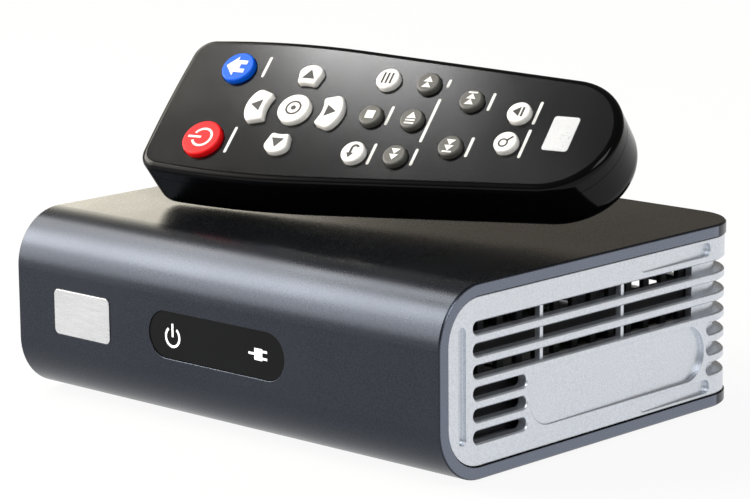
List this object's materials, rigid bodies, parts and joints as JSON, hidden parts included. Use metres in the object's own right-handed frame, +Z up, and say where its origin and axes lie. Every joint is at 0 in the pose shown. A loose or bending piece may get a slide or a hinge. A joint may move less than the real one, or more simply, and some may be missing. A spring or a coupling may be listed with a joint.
{
  "type": "media player with remote control",
  "caption": "Compact set-top media player box with a slotted side and rear vent frame, and its tapered infrared remote control resting tilted on the lid.",
  "frame": {"origin": "centre of the player's footprint at the bottom of its rubber feet", "axes": "+X along the front to the right as seen from the front, +Y towards the back, +Z up"},
  "size_m": [0.1254, 0.1002, 0.0759],
  "materials": {
    "shell_gunmetal": "satin metallic paint with a fine grain",
    "frame_silver": "fine speckled silver paint",
    "tray_black": "matte",
    "board_green": "lacquered",
    "chip_black": "matte",
    "pad_grey": "matte",
    "sink_aluminium": "bare",
    "part_dark": "satin",
    "led_white": "satin",
    "guide_clear": "clear",
    "window_black": "satin black",
    "badge_steel": "brushed",
    "foot_rubber": "matte",
    "screw_steel": "plated",
    "jack_black": "matte",
    "port_steel": "bright",
    "jack_red": "satin",
    "jack_white": "satin",
    "jack_yellow": "satin",
    "shutter_black": "matte",
    "button_black": "satin",
    "remote_gloss": "high gloss",
    "remote_satin": "satin",
    "label_steel": "brushed",
    "ir_dark": "glossy",
    "lamp_clear": "clear",
    "mat_rubber": "matte",
    "cell_steel": "wrapped",
    "contact_steel": "plated",
    "door_black": "gloss",
    "key_red": "satin",
    "key_blue": "satin",
    "key_white": "satin",
    "key_dark": "satin"
  },
  "bodies": {
    "player": {"outer_shell": "shell_gunmetal", "vent_frame": "frame_silver", "base_tray": "tray_black", "main_board": "board_green", "processor": "chip_black", "thermal_pad": "pad_grey", "heat_sink": "sink_aluminium", "memory_chips": "chip_black", "board_parts": "part_dark", "indicator_leds": "led_white", "light_guide": "guide_clear", "indicator_window": "window_black", "badge_plate": "badge_steel", "rubber_feet": "foot_rubber", "case_screws": "screw_steel", "board_screws": "screw_steel", "power_jack": "jack_black", "usb_port_rear": "port_steel", "usb_port_side": "port_steel", "hdmi_port": "port_steel", "optical_port": "jack_black", "reset_switch": "jack_black", "audio_right_jack": "jack_red", "audio_left_jack": "jack_white", "video_jack": "jack_yellow"},
    "shutter": {"optical_shutter": "shutter_black"},
    "reset": {"reset_button": "button_black"},
    "remote": {"remote_top_case": "remote_gloss", "remote_face_plate": "remote_satin", "remote_label_plate": "label_steel", "remote_bottom_case": "remote_gloss", "remote_ir_window": "ir_dark", "remote_ir_lamp": "lamp_clear", "remote_circuit_board": "board_green", "remote_key_mat": "mat_rubber", "remote_batteries": "cell_steel", "remote_battery_contacts": "contact_steel", "remote_screws": "screw_steel"},
    "door": {"battery_door": "door_black"},
    "power_button": {"power_key": "key_red"},
    "home_button": {"home_key": "key_blue"},
    "up_button": {"up_key": "key_white"},
    "left_button": {"left_key": "key_white"},
    "enter_button": {"enter_key": "key_white"},
    "right_button": {"right_key": "key_white"},
    "down_button": {"down_key": "key_white"},
    "back_button": {"back_key": "key_white"},
    "stop_button": {"stop_key": "key_dark"},
    "menu_button": {"menu_key": "key_white"},
    "rewind_button": {"rewind_key": "key_dark"},
    "play_pause_button": {"play_pause_key": "key_dark"},
    "fast_forward_button": {"fast_forward_key": "key_dark"},
    "previous_button": {"previous_key": "key_dark"},
    "next_button": {"next_key": "key_dark"},
    "search_button": {"search_key": "key_white"},
    "eject_button": {"eject_key": "key_white"}
  },
  "joints": [
    {"name": "remote_lift", "type": "slide", "parent": "player", "child": "remote", "axis": [0, 0, 1], "range_m": [0, 0.08]},
    {"name": "battery_door_slide", "type": "slide", "parent": "remote", "child": "door", "axis": [0.9769, 0.2139, 0], "range_m": [0, 0.06]},
    {"name": "shutter_hinge", "type": "hinge", "parent": "player", "child": "shutter", "pos_m": [-0.003, 0.0485, 0.0185], "axis": [-1, 0, 0], "range_deg": [0, 80], "stiffness_Nm_per_rad": 0.0005},
    {"name": "reset_press", "type": "slide", "parent": "player", "child": "reset", "axis": [1, 0, 0], "range_m": [0, 0.0005], "stiffness_N_per_m": 1500},
    {"name": "power_press", "type": "slide", "parent": "remote", "child": "power_button", "axis": [-0.1445, 0.66, -0.7373], "range_m": [0, 0.0008], "stiffness_N_per_m": 800},
    {"name": "home_press", "type": "slide", "parent": "remote", "child": "home_button", "axis": [-0.1445, 0.66, -0.7373], "range_m": [0, 0.0008], "stiffness_N_per_m": 800},
    {"name": "up_press", "type": "slide", "parent": "remote", "child": "up_button", "axis": [-0.1445, 0.66, -0.7373], "range_m": [0, 0.0008], "stiffness_N_per_m": 800},
    {"name": "left_press", "type": "slide", "parent": "remote", "child": "left_button", "axis": [-0.1445, 0.66, -0.7373], "range_m": [0, 0.0008], "stiffness_N_per_m": 800},
    {"name": "enter_press", "type": "slide", "parent": "remote", "child": "enter_button", "axis": [-0.1445, 0.66, -0.7373], "range_m": [0, 0.0008], "stiffness_N_per_m": 800},
    {"name": "right_press", "type": "slide", "parent": "remote", "child": "right_button", "axis": [-0.1445, 0.66, -0.7373], "range_m": [0, 0.0008], "stiffness_N_per_m": 800},
    {"name": "down_press", "type": "slide", "parent": "remote", "child": "down_button", "axis": [-0.1445, 0.66, -0.7373], "range_m": [0, 0.0008], "stiffness_N_per_m": 800},
    {"name": "back_press", "type": "slide", "parent": "remote", "child": "back_button", "axis": [-0.1445, 0.66, -0.7373], "range_m": [0, 0.0008], "stiffness_N_per_m": 800},
    {"name": "stop_press", "type": "slide", "parent": "remote", "child": "stop_button", "axis": [-0.1445, 0.66, -0.7373], "range_m": [0, 0.0008], "stiffness_N_per_m": 800},
    {"name": "menu_press", "type": "slide", "parent": "remote", "child": "menu_button", "axis": [-0.1445, 0.66, -0.7373], "range_m": [0, 0.0008], "stiffness_N_per_m": 800},
    {"name": "rewind_press", "type": "slide", "parent": "remote", "child": "rewind_button", "axis": [-0.1445, 0.66, -0.7373], "range_m": [0, 0.0008], "stiffness_N_per_m": 800},
    {"name": "play_pause_press", "type": "slide", "parent": "remote", "child": "play_pause_button", "axis": [-0.1445, 0.66, -0.7373], "range_m": [0, 0.0008], "stiffness_N_per_m": 800},
    {"name": "fast_forward_press", "type": "slide", "parent": "remote", "child": "fast_forward_button", "axis": [-0.1445, 0.66, -0.7373], "range_m": [0, 0.0008], "stiffness_N_per_m": 800},
    {"name": "previous_press", "type": "slide", "parent": "remote", "child": "previous_button", "axis": [-0.1445, 0.66, -0.7373], "range_m": [0, 0.0008], "stiffness_N_per_m": 800},
    {"name": "next_press", "type": "slide", "parent": "remote", "child": "next_button", "axis": [-0.1445, 0.66, -0.7373], "range_m": [0, 0.0008], "stiffness_N_per_m": 800},
    {"name": "search_press", "type": "slide", "parent": "remote", "child": "search_button", "axis": [-0.1445, 0.66, -0.7373], "range_m": [0, 0.0008], "stiffness_N_per_m": 800},
    {"name": "eject_press", "type": "slide", "parent": "remote", "child": "eject_button", "axis": [-0.1445, 0.66, -0.7373], "range_m": [0, 0.0008], "stiffness_N_per_m": 800}
  ]
}
